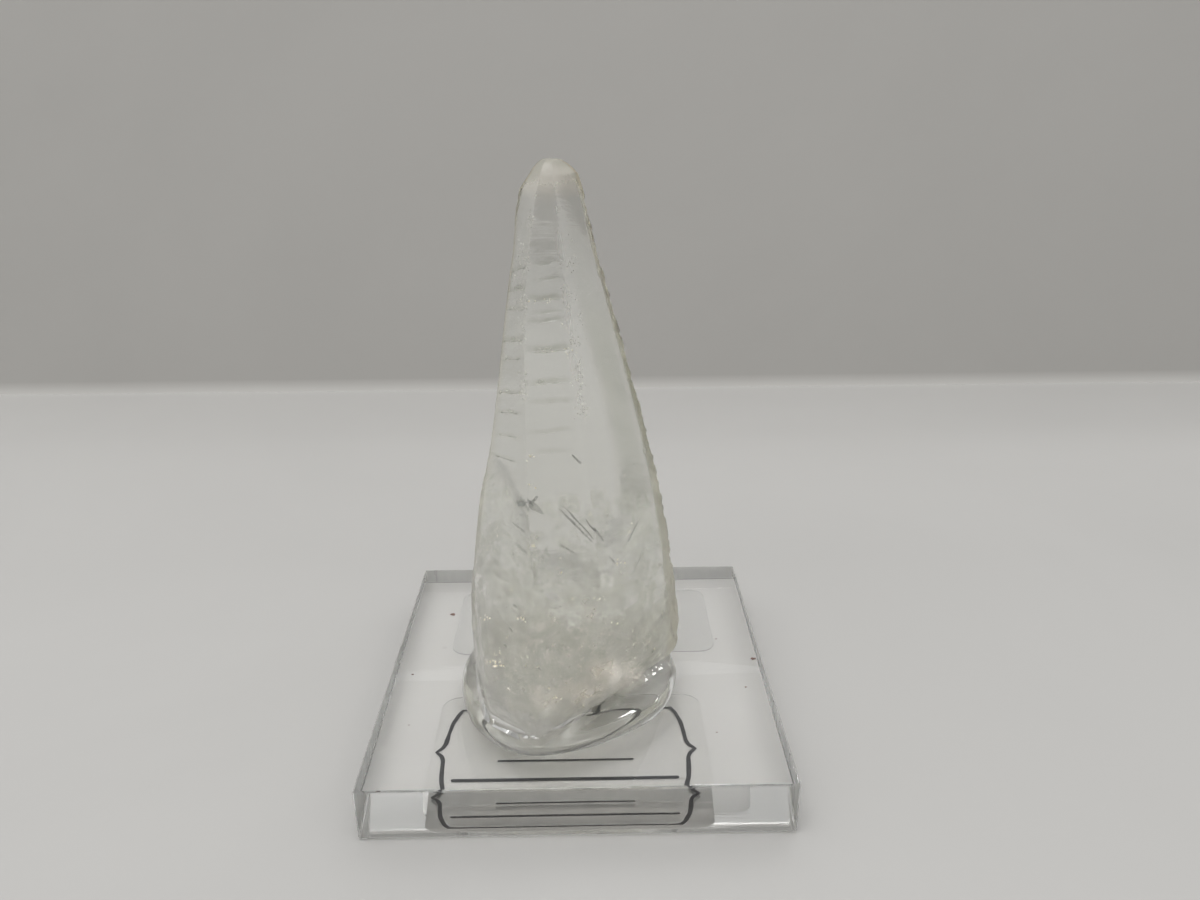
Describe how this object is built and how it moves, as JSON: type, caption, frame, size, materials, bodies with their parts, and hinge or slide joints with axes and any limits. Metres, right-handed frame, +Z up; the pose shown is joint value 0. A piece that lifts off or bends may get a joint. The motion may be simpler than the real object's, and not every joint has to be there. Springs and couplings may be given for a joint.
{
  "type": "calcite specimen",
  "caption": "Clear to milky pointed calcite crystal, set in clear adhesive on a clear square acrylic block with clear labels on its underside.",
  "frame": {"origin": "middle of the clear block's underside, on the surface that it stands on", "axes": "+Z up along the crystal, -Y towards the front label's side, +X to the right of it"},
  "size_m": [0.0446, 0.0446, 0.0644],
  "materials": {
    "calcite": "gloss",
    "adhesive": "polished",
    "acrylic": "polished",
    "label_film": "satin"
  },
  "bodies": {
    "root": {"crystal": "calcite", "adhesive": "adhesive", "acrylic_base": "acrylic", "front_label": "label_film", "rear_label": "label_film"}
  },
  "joints": []
}
